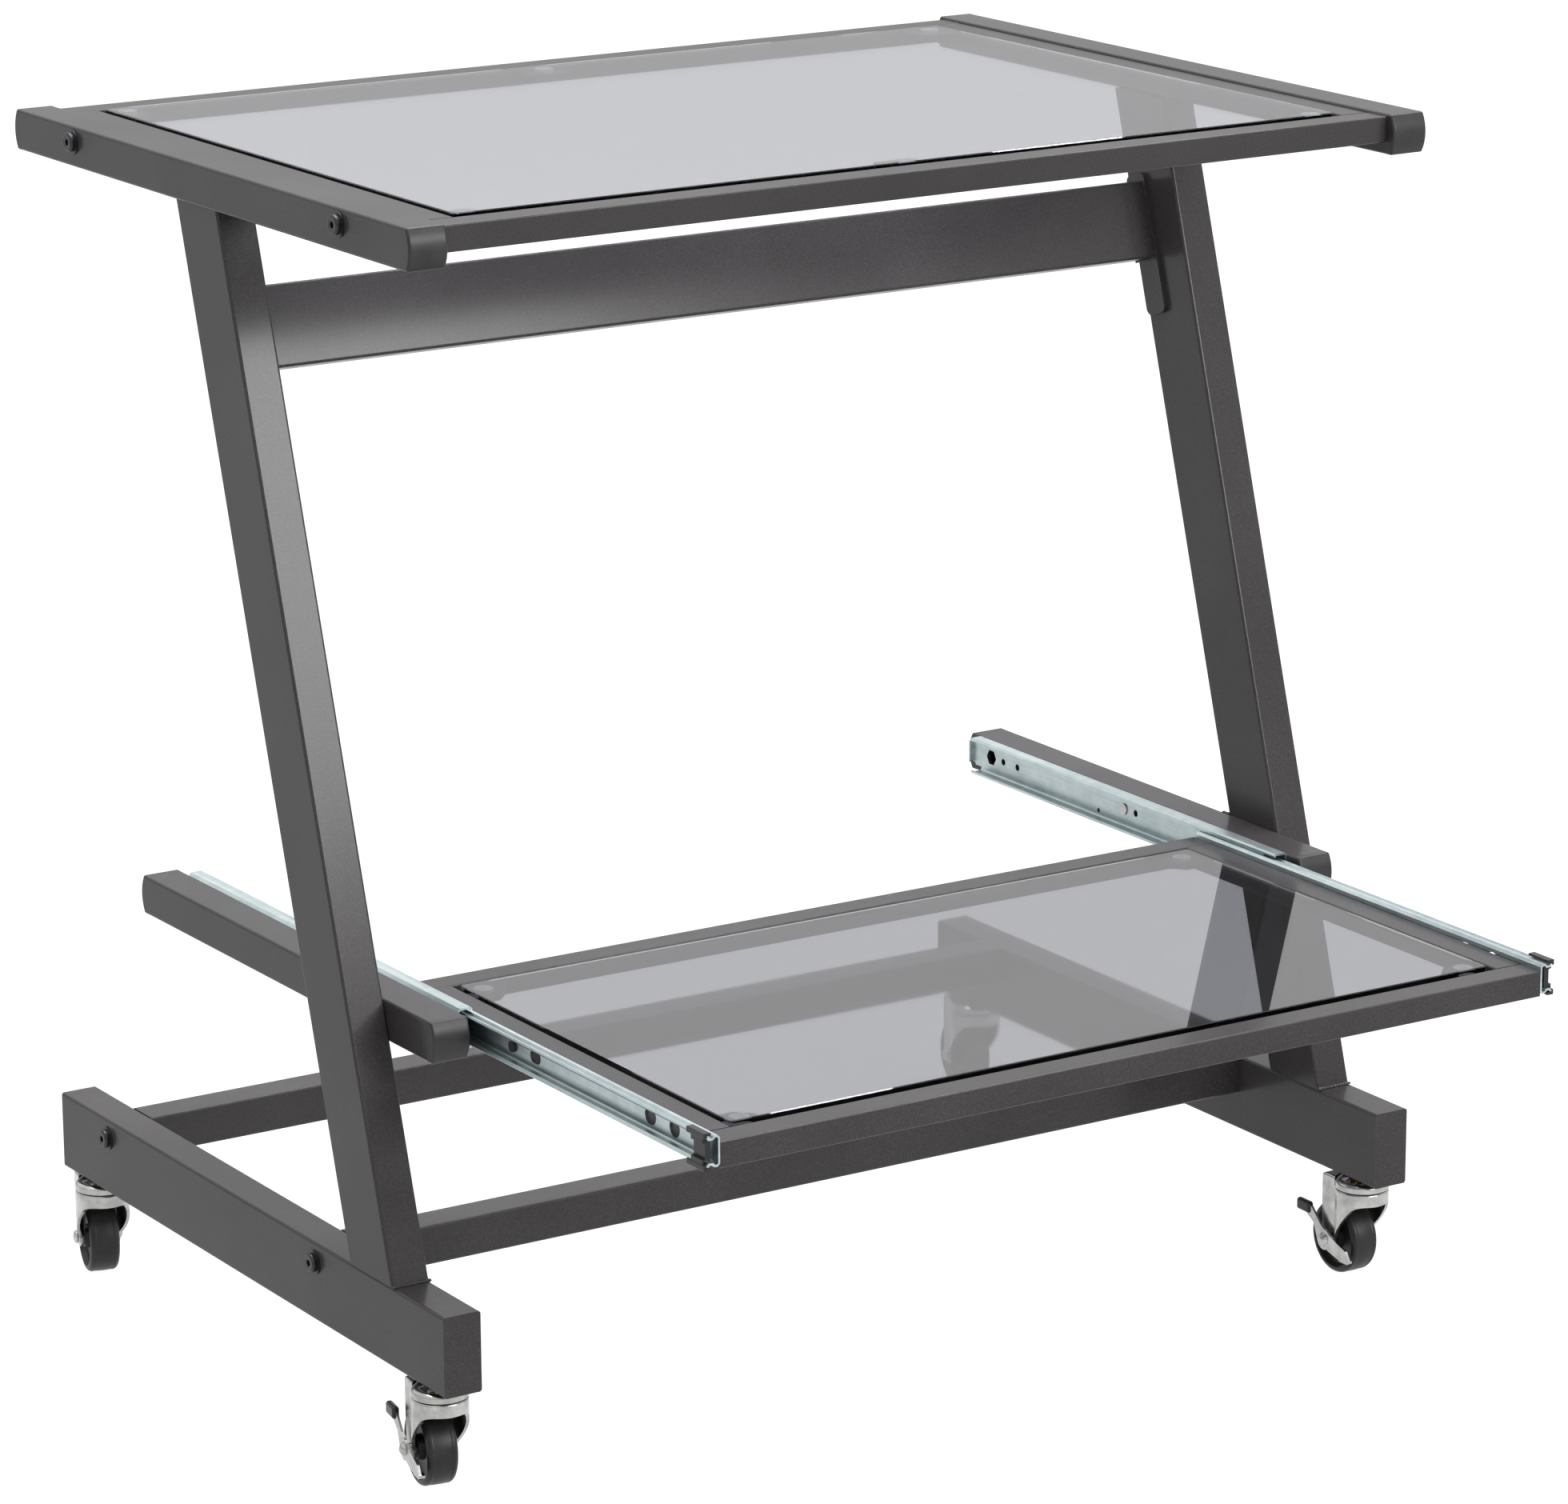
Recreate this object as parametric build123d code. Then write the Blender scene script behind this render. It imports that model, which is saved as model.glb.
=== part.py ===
"""Mobile computer desk: two welded steel side frames on swivel casters, a recessed glass top and a
glass keyboard tray that pulls out on ball-bearing slides.

Units are millimetres. X runs from left to right, Y from the front (-Y, where the user sits) to the
back, and Z up from the floor. The tray is modelled pulled out to its stop. The origin is on the floor
at the middle of the whole desk with the tray out.
"""
from build123d import *
import math
import os

os.makedirs("parts", exist_ok=True)

# ---------------------------------------------------------------- driving dimensions: whole desk
desk_width = 710.0  # outer faces of the two top rails
base_depth = 500.0  # foot rails, front to back
frame_height = 687.5  # underside of the foot rails to the top of the top rails
caster_height = 70.0  # floor to the underside of the foot rails
tray_pull = 270.0  # travel of the keyboard tray
tray_reach = 205.0  # how far the pulled-out tray stands in front of the foot rails

# ---------------------------------------------------------------- driving dimensions: steel tube
small_tube = 25.0  # square tube of the top rails, slide rails and cross tubes
deep_tube = 50.0  # long side of the 50 x 25 tube of the legs and foot rails
tube_wall = 1.5
tube_corner = 1.8  # outside corner radius
frame_tube_width = 19.0  # tube around each glass, seen from above
frame_tube_height = 16.0
frame_tube_wall = 1.2
frame_tube_corner = 1.2

# ---------------------------------------------------------------- driving dimensions: side frames
side_inset = 3.0  # legs and foot rails sit this far inside the top rails' outer faces
top_rail_setback = 15.0  # front end of the top rail tube behind the front of the foot rail
slide_rail_length = 360.0
slide_rail_setback = 57.5  # front end of the slide rail tube behind the front of the foot rail
slide_rail_top = 211.0  # top of the slide rails above the underside of the foot rails
leg_lean = 16.75  # degrees from upright, top to the back
leg_setback = 60.5  # front of the leg on the foot rail, behind the front of the foot rail
foot_plate = 1.5  # welded plates that close the foot rails

# ---------------------------------------------------------------- driving dimensions: cross members
apron_height = 50.0
apron_depth = 20.0
apron_drop = 75.7  # front top edge of the apron below the top of the top rails
apron_plate = 3.0  # thickness of the plates that join the apron to the legs
apron_plate_above = 5.0
apron_plate_below = 36.0
apron_plate_depth = 20.0
apron_plate_lead = 2.5  # the plates stand this far in front of the apron
front_cross_setback = 157.5  # middle of the front cross tube behind the front of the foot rails
rear_cross_setback = 65.0  # middle of the rear cross tube ahead of the back of the foot rails

# ---------------------------------------------------------------- driving dimensions: glass
glass_thickness = 5.0
glass_side_gap = 2.5  # between the glass and the side tubes
glass_end_gap = 5.0  # between the glass and the front and rear tubes
glass_proud = 1.0  # glass stands above the tubes around it
glass_corner = 3.0
glass_seam = 0.6  # ground edge chamfer
top_frame_drop = 1.5  # top of the glass frame below the top of the top rails
pad_radius = 6.0
pad_thickness = 2.0
pad_inset = 14.0  # pad centres from the two tubes of the corner
tab_size = 27.0
tab_chamfer = 9.0
tab_thickness = 3.0

# ---------------------------------------------------------------- driving dimensions: tray and slides
slide_height = 25.0
slide_lift = 1.0  # middle of the slides above the middle of the slide rails
slide_space = 13.0  # between slide rail and tray, taken by one slide
slide_steel = 1.2
slide_length = 350.0
inner_slide_height = 18.4
groove_depth = 1.4  # ball grooves pressed into the drawer member
cage_length = 81.0
cage_steel = 0.7
cage_front_gap = 12.0  # cage behind the front of the outer member, tray out
balls_per_row = 6
tray_depth = 353.0
tray_drop = 6.4  # top of the tray frame below the top of the slide rails
running_gap = 0.05  # clearance of balls in their races
stop_length = 18.0
flange_cutback = 7.0  # flanges of the cabinet member end this far ahead of its back end

# ---------------------------------------------------------------- driving dimensions: fasteners
bolt_radius = 3.0
bolt_clearance = 0.3
thread_clearance = 0.05
bolt_head_radius = 5.8
bolt_head_height = 3.2
bolt_socket = 4.0  # across flats
washer_radius = 7.5
washer_thickness = 1.0
bolt_reach = 12.0  # thread beyond the inner face of the rail
top_bolt_inset = 74.0  # bolts from each end of the top rail tube
slide_screw_radius = 2.0

# ---------------------------------------------------------------- driving dimensions: casters
stem_radius = 4.0
caster_inset = 28.5  # swivel axis from the end of the foot rail
wheel_radius = 23.5
wheel_width = 20.0
wheel_trail = 17.5  # axle behind the swivel axis
axle_radius = 3.0
axle_clearance = 0.06
swivel_radius = 17.2
skirt_height = 8.5  # rim of the fork head
fork_boss = 6.5  # round end of the fork legs
hood_top = -3.2  # top of the raised back of the fork, below the foot rail
lever_gap = 2.6  # brake lever outside the fork leg, clear of the fork's round head
fork_steel = 2.0
fork_side_gap = 1.0  # between wheel and fork leg
fork_back = 25.0  # back edge of the fork behind the swivel axis
lever_steel = 1.5
caster_turn = {"front_left": -10.0, "front_right": -1.0, "rear_left": -14.5, "rear_right": -10.0}

# ---------------------------------------------------------------- derived places
cap_base = 4.3
cap_dome = 3.7
cap_depth = cap_base + cap_dome
foot_mid_y = (tray_reach - cap_depth) / 2  # centres the whole desk, tray front to back caps
foot_front = foot_mid_y - base_depth / 2
foot_back = foot_mid_y + base_depth / 2

half_width = desk_width / 2
side_x = half_width - side_inset - small_tube / 2  # middle of legs and foot rails
top_rail_x = half_width - small_tube / 2
leg_inner_x = side_x - small_tube / 2
slide_rail_x = leg_inner_x - small_tube / 2
slide_face_x = slide_rail_x - small_tube / 2  # inner face of the slide rail
tray_half = slide_face_x - slide_space

foot_bottom = caster_height
foot_top = foot_bottom + deep_tube
rail_top = foot_bottom + frame_height
rail_bottom = rail_top - small_tube
top_rail_z = rail_top - small_tube / 2
slide_rail_z = foot_bottom + slide_rail_top - small_tube / 2
slide_z = slide_rail_z + slide_lift

top_rail_front = foot_front + top_rail_setback
top_rail_back = foot_back
slide_rail_front = foot_front + slide_rail_setback
slide_rail_back = slide_rail_front + slide_rail_length

lean = math.radians(leg_lean)
leg_slant = math.tan(lean)
leg_run = deep_tube / math.cos(lean)  # front to back length of the leg's cut ends
leg_front_at_foot = foot_front + leg_setback

tray_front = foot_front - tray_reach
outer_front = tray_front + tray_pull
outer_back = outer_front + slide_length
outer_screw_ys = (outer_front + 45, outer_front + 176.4)
hex_hole_y = outer_back - 19
web_hole_ys = (outer_back - 33.3, outer_back - 50, outer_back - 187)
tray_back = tray_front + tray_depth
tray_top = foot_bottom + slide_rail_top - tray_drop

top_frame_top = rail_top - top_frame_drop
top_frame_z = top_frame_top - frame_tube_height / 2
top_frame_half = half_width - small_tube

cross_z = foot_top - small_tube / 2
front_cross_y = foot_front + front_cross_setback
rear_cross_y = foot_back - rear_cross_setback


def leg_front(z):
    """Y of the legs' front faces at height z."""
    return leg_front_at_foot + (z - foot_top) * leg_slant


# ---------------------------------------------------------------- helpers
def node(name, *solids):
    """Write one node; several solids stay separate."""
    shape = solids[0] if len(solids) == 1 else Compound(children=list(solids))
    shape.label = name
    export_step(shape, f"parts/{name}.step")


def along_y(profile, x, y_front, y_back, z):
    """Extrude a profile (drawn across X and Z) from front to back."""
    plane = Plane(origin=(x, y_front, z), x_dir=(1, 0, 0), z_dir=(0, 1, 0))
    return extrude(plane * profile, amount=y_back - y_front)


def along_x(profile, x_left, x_right, y, z):
    """Extrude a profile (drawn across Y and Z) from left to right."""
    plane = Plane(origin=(x_left, y, z), x_dir=(0, 1, 0), z_dir=(1, 0, 0))
    return extrude(plane * profile, amount=x_right - x_left)


def rod_x(radius, x_from, x_to, y, z):
    """Round bar along X."""
    plane = Plane(origin=(x_from, y, z), x_dir=(0, 1, 0), z_dir=(1, 0, 0))
    return extrude(plane * Circle(radius), amount=x_to - x_from)


def tube_profile(width, height, wall, corner):
    """Section of a rectangular tube with rounded corners."""
    hollow = RectangleRounded(width - 2 * wall, height - 2 * wall, max(corner - wall, 0.3))
    return RectangleRounded(width, height, corner) - hollow


def strip_outline(points, thickness):
    """Closed outline of a bent strip whose middle line runs through the points."""
    def offset_side(sign):
        side = []
        for i, (u, w) in enumerate(points):
            before = points[max(i - 1, 0)]
            after = points[min(i + 1, len(points) - 1)]
            here = (u, w)
            normals = []
            for a, b in ((before, here), (here, after)):
                du, dw = b[0] - a[0], b[1] - a[1]
                length = math.hypot(du, dw)
                if length > 0:
                    normals.append((-dw / length, du / length))
            nu = sum(n[0] for n in normals) / len(normals)
            nw = sum(n[1] for n in normals) / len(normals)
            reach = sign * thickness / 2 / (nu * nu + nw * nw)
            side.append((u + nu * reach, w + nw * reach))
        return side
    return offset_side(1) + offset_side(-1)[::-1]


def across(side, solids):
    """Solids modelled for the right side, mirrored when the side is the left one."""
    return [s if side > 0 else mirror(s, about=Plane.YZ) for s in solids]


# ---------------------------------------------------------------- side frames
square = tube_profile(small_tube, small_tube, tube_wall, tube_corner)
upright = tube_profile(small_tube, deep_tube, tube_wall, tube_corner)
top_bolt_ys = (top_rail_front + top_bolt_inset, top_rail_back - top_bolt_inset)
cross_bolt_ys = (front_cross_y, rear_cross_y)
caster_ys = {"front": foot_front + caster_inset, "rear": foot_back - caster_inset}


def top_rail(side):
    """Top rail with its two cross-drilled bolt holes."""
    rail = along_y(square, side * top_rail_x, top_rail_front, top_rail_back, top_rail_z)
    for y in top_bolt_ys:
        x_out = side * (top_rail_x + small_tube)
        x_in = side * (top_rail_x - small_tube)
        rail -= rod_x(bolt_radius + bolt_clearance, x_in, x_out, y, top_frame_z)
    return rail


def leg(side):
    """Leaning leg, its ends cut level to meet the rails above and below."""
    low, high = foot_top, rail_bottom
    mid_z = (low + high) / 2
    mid = (side * side_x, leg_front(mid_z) + leg_run / 2, mid_z)
    axis = Plane(origin=mid, x_dir=(1, 0, 0), z_dir=(0, math.sin(lean), math.cos(lean)))
    full = extrude(axis * upright, amount=high, both=True)
    return full & Pos(mid[0], mid[1], mid_z) * Box(2 * small_tube, 4 * high, high - low)


def slide_rail(side):
    """Short rail on the inner face of the leg, drilled for the screws and the punched holes of the slide."""
    rail = along_y(square, side * slide_rail_x, slide_rail_front, slide_rail_back, slide_rail_z)
    ends = sorted((side * (slide_face_x - 1), side * (slide_face_x + 4 * tube_wall)))
    for y in outer_screw_ys:
        rail -= rod_x(slide_screw_radius + thread_clearance, ends[0], ends[1], y, slide_z)
    rail -= rod_x(5.2, ends[0], ends[1], hex_hole_y, slide_z)
    for y in web_hole_ys:
        rail -= rod_x(2.6, ends[0], ends[1], y, slide_z)
    return rail


def foot_rail(side):
    """Foot rail with holes for the cross-tube bolts and the caster stems."""
    z = foot_bottom + deep_tube / 2
    rail = along_y(upright, side * side_x, foot_front + foot_plate, foot_back - foot_plate, z)
    for y in cross_bolt_ys:
        rail -= rod_x(bolt_radius + bolt_clearance, side * (side_x - 30), side * (side_x + 30), y, cross_z)
    for y in caster_ys.values():
        rail -= Pos(side * side_x, y, foot_bottom) * Cylinder(stem_radius + bolt_clearance, 4 * tube_wall)
    return rail


for name, side in (("left", -1), ("right", 1)):
    node(f"{name}_top_rail", top_rail(side))
    node(f"{name}_leg", leg(side))
    node(f"{name}_slide_rail", slide_rail(side))
    node(f"{name}_foot_rail", foot_rail(side))


def end_cap(x, y_end, z, outwards):
    """Moulded plug with a domed face; outwards is -1 at a front end and 1 at a back end."""
    half = small_tube / 2
    face = make_face([
        Line((0, -half), (cap_base, -half)),
        ThreePointArc((cap_base, -half), (cap_depth, 0), (cap_base, half)),
        Line((cap_base, half), (0, half)),
        Line((0, half), (0, -half)),
    ])
    plane = Plane(origin=(-half, 0, 0), x_dir=(0, 1, 0), z_dir=(1, 0, 0))
    head = extrude(plane * face, amount=small_tube)
    head = fillet(head.edges().filter_by(lambda e: e.center().Y > cap_base / 4), 1.6)
    plug_size = small_tube - 2 * tube_wall - 0.3
    plug = extrude(Plane.XZ * RectangleRounded(plug_size, plug_size, 0.5), amount=10)
    cap = head + plug
    if outwards < 0:
        cap = Rot(0, 0, 180) * cap
    return Pos(x, y_end, z) * cap


def cap_set(rail_x, y_front, y_back, z):
    """Four caps, one at each end of a pair of rails."""
    return [end_cap(s * rail_x, y, z, o) for s in (-1, 1) for y, o in ((y_front, -1), (y_back, 1))]


top_caps = cap_set(top_rail_x, top_rail_front, top_rail_back, top_rail_z)
slide_caps = cap_set(slide_rail_x, slide_rail_front, slide_rail_back, slide_rail_z)
node("rail_end_caps", *top_caps, *slide_caps)


def foot_end_plate(side, y_outer, inwards):
    """Plate that closes one end of a foot rail."""
    plate = RectangleRounded(small_tube, deep_tube, tube_corner)
    y_inner = y_outer + inwards * foot_plate
    return along_y(plate, side * side_x, min(y_outer, y_inner), max(y_outer, y_inner), foot_bottom + deep_tube / 2)


foot_ends = ((foot_front, 1), (foot_back, -1))
node("foot_rail_end_plates", *[foot_end_plate(s, y, i) for s in (-1, 1) for y, i in foot_ends])

# ---------------------------------------------------------------- apron between the legs
apron_top = rail_top - apron_drop
apron_z = apron_top - (apron_height * math.cos(lean) + apron_depth * math.sin(lean)) / 2
apron_back_y = leg_front(apron_z) + leg_run
apron_mid = (0, apron_back_y - apron_depth / 2 / math.cos(lean), apron_z)
apron_plane = Plane(origin=apron_mid, x_dir=(1, 0, 0), z_dir=(0, math.sin(lean), math.cos(lean)))
apron_half = leg_inner_x - apron_plate
apron_section = Plane(origin=(-apron_half, 0, 0), x_dir=(0, 1, 0), z_dir=(1, 0, 0)) * tube_profile(
    apron_depth, apron_height, tube_wall, tube_corner)
node("apron", apron_plane.location * extrude(apron_section, amount=2 * apron_half))


def apron_end_plate(side):
    """Flat plate welded between the apron and the leg, longer than the apron at both ends."""
    height = apron_height + apron_plate_above + apron_plate_below
    plate = Box(apron_plate, apron_plate_depth, height)
    plate = fillet(plate.edges().filter_by(Axis.X), 5.0)
    rise = (apron_plate_above - apron_plate_below) / 2
    x = side * (leg_inner_x - apron_plate / 2)
    ahead = (apron_depth - apron_plate_depth) / 2 + apron_plate_lead
    return apron_plane.location * Pos(x, -ahead, rise) * plate


node("apron_end_plates", apron_end_plate(-1), apron_end_plate(1))

# ---------------------------------------------------------------- lower cross tubes and their bolts
cross_half = leg_inner_x
for name, y in (("front_cross_tube", front_cross_y), ("rear_cross_tube", rear_cross_y)):
    node(name, along_x(square, -cross_half, cross_half, y, cross_z))


def threaded_end(side, y):
    """Plate and threaded boss welded inside the end of a cross tube."""
    size = small_tube - 2 * tube_wall - 0.3
    outer, inner = cross_half, cross_half - 4
    block = along_x(RectangleRounded(size, size, 0.8), inner, outer, y, cross_z)
    block += rod_x(8, inner - 10, inner, y, cross_z)
    block -= rod_x(bolt_radius + thread_clearance, inner - 20, outer + 5, y, cross_z)
    return across(side, [block])[0]


cross_nuts = [threaded_end(s, y) for s in (-1, 1) for y in cross_bolt_ys]


def button_bolt(face_x, end_x, y, z):
    """Socket button-head bolt with its washer, on the right side; the head rests at face_x."""
    washer = rod_x(washer_radius, face_x, face_x + washer_thickness, y, z)
    washer -= rod_x(bolt_radius + bolt_clearance, face_x - 1, face_x + 2 * washer_thickness, y, z)
    seat = face_x + washer_thickness
    dome = make_face([
        Line((0, 0), (bolt_head_radius, 0)),
        Line((bolt_head_radius, 0), (bolt_head_radius, 0.9)),
        ThreePointArc((bolt_head_radius, 0.9), (5.4, 3.0), (3.6, bolt_head_height)),
        Line((3.6, bolt_head_height), (0, bolt_head_height)),
        Line((0, bolt_head_height), (0, 0)),
    ])
    head = Plane(origin=(seat, y, z), x_dir=(0, 1, 0), z_dir=(1, 0, 0)).location * revolve(Plane.XZ * dome, Axis.Z)
    socket = RegularPolygon(bolt_socket / 2, 6, major_radius=False)
    head -= along_x(socket, seat + bolt_head_height - 2.4, seat + bolt_head_height + 1, y, z)
    return [head + rod_x(bolt_radius, end_x, seat, y, z), washer]


def bolt_set(face_x, end_x, ys, z):
    """Bolts and washers on both sides of the desk."""
    solids = []
    for side in (-1, 1):
        for y in ys:
            solids += across(side, button_bolt(face_x, end_x, y, z))
    return solids


cross_bolts = bolt_set(side_x + small_tube / 2, cross_half - bolt_reach, cross_bolt_ys, cross_z)
top_bolts = bolt_set(half_width, top_frame_half - bolt_reach, top_bolt_ys, top_frame_z)
node("frame_bolts", *cross_bolts, *top_bolts)

# ---------------------------------------------------------------- glass frames
rivet_nut_radius = 5.2
rivet_nut_clearance = 0.1


def glass_frame(prefix, half, y_front, y_back, z, hole_ys, hole_radius, hole_z):
    """Four tubes around a glass: front and rear run full width, the side tubes butt between them."""
    section = tube_profile(frame_tube_width, frame_tube_height, frame_tube_wall, frame_tube_corner)
    inset = frame_tube_width / 2
    for name, y in (("front", y_front + inset), ("rear", y_back - inset)):
        node(f"{prefix}_{name}_tube", along_x(section, -half, half, y, z))
    for name, side in (("left", -1), ("right", 1)):
        start, end = y_front + frame_tube_width, y_back - frame_tube_width
        tube = along_y(section, side * (half - inset), start, end, z)
        for y in hole_ys:
            ends = sorted((side * (half - 2 * frame_tube_wall), side * (half + 1)))
            tube -= rod_x(hole_radius, ends[0], ends[1], y, hole_z)
        node(f"{prefix}_{name}_tube", tube)


def glass_supports(prefix, half, y_front, y_back, z_frame_top, middle):
    """Corner tabs welded inside a glass frame, with a clear pad on each, and the glass on them."""
    x_open = half - frame_tube_width
    front, back = y_front + frame_tube_width, y_back - frame_tube_width
    glass_top = z_frame_top + glass_proud
    glass_bottom = glass_top - glass_thickness
    tab_top = glass_bottom - pad_thickness
    tab = Plane.XY * make_face(Polyline([
        (0, 0), (tab_size, 0), (tab_size, tab_size - tab_chamfer),
        (tab_size - tab_chamfer, tab_size), (0, tab_size)], close=True))
    tab = extrude(tab, amount=tab_thickness)
    tabs, pads = [], []
    for sx in (-1, 1):
        for y_edge, sy in ((front, 1), (back, -1)):
            piece = tab if sx < 0 else mirror(tab, about=Plane.YZ)
            piece = piece if sy > 0 else mirror(piece, about=Plane.XZ)
            tabs.append(Pos(sx * x_open, y_edge, tab_top - tab_thickness) * piece)
            pads.append(Pos(sx * (x_open - pad_inset), y_edge + sy * pad_inset, tab_top + pad_thickness / 2))
    if middle:
        for y_edge, sy in ((front, 1), (back, -1)):
            y = y_edge + sy * tab_size / 2
            tabs.append(Pos(0, y, tab_top - tab_thickness / 2) * Box(tab_size, tab_size, tab_thickness))
            pads.append(Pos(0, y_edge + sy * pad_inset, tab_top + pad_thickness / 2))
    node(f"{prefix}_support_tabs", *tabs)
    node(f"{prefix}_glass_pads", *[p * Cylinder(pad_radius, pad_thickness) for p in pads])
    width = 2 * (x_open - glass_side_gap)
    depth = back - front - 2 * glass_end_gap
    pane = extrude(RectangleRounded(width, depth, glass_corner), amount=glass_thickness)
    pane = chamfer(pane.faces().sort_by(Axis.Z)[-1].edges() + pane.faces().sort_by(Axis.Z)[0].edges(), glass_seam)
    node(f"{prefix}_glass", Pos(0, (front + back) / 2, glass_bottom) * pane)


rivet_hole = rivet_nut_radius + rivet_nut_clearance
glass_frame("top", top_frame_half, top_rail_front, top_rail_back, top_frame_z,
            top_bolt_ys, rivet_hole, top_frame_z)
glass_supports("top", top_frame_half, top_rail_front, top_rail_back, top_frame_top, middle=True)


def rivet_nut(side, y):
    """Threaded insert in the outer wall of a side tube of the top glass frame."""
    face = top_frame_half
    body = rod_x(rivet_nut_radius, face - 14, face, y, top_frame_z)
    swell = rod_x(rivet_nut_radius + 1.2, face - frame_tube_wall - 2.5, face - frame_tube_wall, y, top_frame_z)
    insert = body + swell - rod_x(bolt_radius + thread_clearance, face - 20, face + 5, y, top_frame_z)
    return across(side, [insert])[0]


rivet_nuts = [rivet_nut(s, y) for s in (-1, 1) for y in top_bolt_ys]

tray_frame_z = tray_top - frame_tube_height / 2
inner_screw_ys = (tray_front + 225, tray_back - 50)
glass_frame("tray", tray_half, tray_front, tray_back, tray_frame_z,
            inner_screw_ys, slide_screw_radius + thread_clearance, slide_z)
glass_supports("tray", tray_half, tray_front, tray_back, tray_top, middle=False)

# ---------------------------------------------------------------- ball-bearing slides
# Slide sections are drawn for the right side: u runs from the slide rail's face towards the tray,
# w up from the slide's middle.
outer_w = slide_height / 2 - slide_steel / 2
inner_w = inner_slide_height / 2 - slide_steel / 2
inner_u = slide_space - slide_steel / 2
groove_w = inner_w - groove_depth
race_outer = outer_w - slide_steel / 2
race_inner = groove_w + slide_steel / 2
ball_radius = (race_outer - race_inner) / 2 - running_gap
ball_w = (race_outer + race_inner) / 2
ball_u = 0.54 * slide_space
screw_head_height = 0.07 * slide_space  # thin heads, clear of the ball cage
lip_u = ball_u + ball_radius + 0.7
outer_path = [(lip_u, outer_w - 1.5), (lip_u, outer_w - 0.7), (lip_u - 0.7, outer_w), (2.0, outer_w),
              (slide_steel / 2, outer_w - 1.4)]
outer_path += [(u, -w) for u, w in reversed(outer_path)]
inner_path = [(ball_u - 2.4, inner_w), (ball_u - 1.2, groove_w), (ball_u + 1.2, groove_w),
              (ball_u + 2.6, inner_w), (inner_u - 1.2, inner_w), (inner_u, inner_w - 1.2)]
inner_path += [(u, -w) for u, w in reversed(inner_path)]
cage_u = 0.217 * slide_space
cage_w = ball_w + 0.25
cage_path = [(ball_u + 2.4, cage_w), (cage_u + 0.8, cage_w), (cage_u, cage_w - 0.8)]
cage_path += [(u, -w) for u, w in reversed(cage_path)]


def strip_along_y(path, thickness, y_front, y_back):
    """Bent strip that runs front to back on the right slide."""
    outline = [(slide_face_x - u, w) for u, w in strip_outline(path, thickness)]
    face = make_face(Polyline(outline, close=True))
    plane = Plane(origin=(0, y_back, slide_z), x_dir=(1, 0, 0), z_dir=(0, -1, 0))
    return extrude(plane * face, amount=y_back - y_front)


def web_hole(radius, y, w=0.0, length=0.0):
    """Round hole, or slot along Y, through a slide web on the right side."""
    shape = Circle(radius) if length == 0 else SlotOverall(length, 2 * radius)
    return along_x(shape, slide_face_x - slide_space - 1, slide_face_x + 1, y, slide_z + w)


def outer_slide():
    """Cabinet member: a deep channel with rolled-in lips, punched web and a bent stop at its back end."""
    member = strip_along_y(outer_path, slide_steel, outer_front, outer_back)
    member -= along_x(RegularPolygon(5.6, 6), slide_face_x - 3, slide_face_x + 1, hex_hole_y, slide_z)
    for y in web_hole_ys:
        member -= web_hole(2.3, y)
    for w in (7.5, -7.5):
        member -= web_hole(1.5, outer_back - 145, w)
    for y in outer_screw_ys:
        member -= web_hole(slide_screw_radius + thread_clearance, y)
    for w in (slide_height / 2, -slide_height / 2):
        corner = Pos(slide_face_x - slide_space / 2, outer_back, slide_z + w)
        member -= corner * Box(slide_space + 1, 2 * flange_cutback, 7)
    tail = Box(slide_steel, 4, 15)
    member += Pos(slide_face_x - slide_steel / 2, outer_back + 2, slide_z) * tail
    hook = Box(4, slide_steel, 15)
    return member + Pos(slide_face_x - 2, outer_back + 4 - slide_steel / 2, slide_z) * hook


def ball_ys():
    """Ball centres along the cage."""
    front = outer_front + cage_front_gap
    pitch = cage_length / balls_per_row
    return [front + pitch * (i + 0.5) for i in range(balls_per_row)]


def ball_cage():
    """Ball cage, a thin channel with a hole for each ball, and its balls."""
    front = outer_front + cage_front_gap
    cage = strip_along_y(cage_path, cage_steel, front, front + cage_length)
    balls = []
    for y in ball_ys():
        hole = Pos(slide_face_x - ball_u, y, slide_z) * Cylinder(ball_radius + running_gap, 2 * slide_height)
        cage -= hole
        for w in (ball_w, -ball_w):
            balls.append(Pos(slide_face_x - ball_u, y, slide_z + w) * Sphere(ball_radius))
    return [cage] + balls


def inner_slide():
    """Drawer member: a shallow grooved channel fixed to the tray."""
    member = strip_along_y(inner_path, slide_steel, tray_front, tray_front + slide_length)
    member -= web_hole(5.5, tray_front + 46) + web_hole(5.0, tray_front + 72, 0, 12)
    member -= web_hole(4.0, tray_front + 200, 0, 12)
    for y in inner_screw_ys:
        member -= web_hole(slide_screw_radius + thread_clearance, y)
    return member


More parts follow.
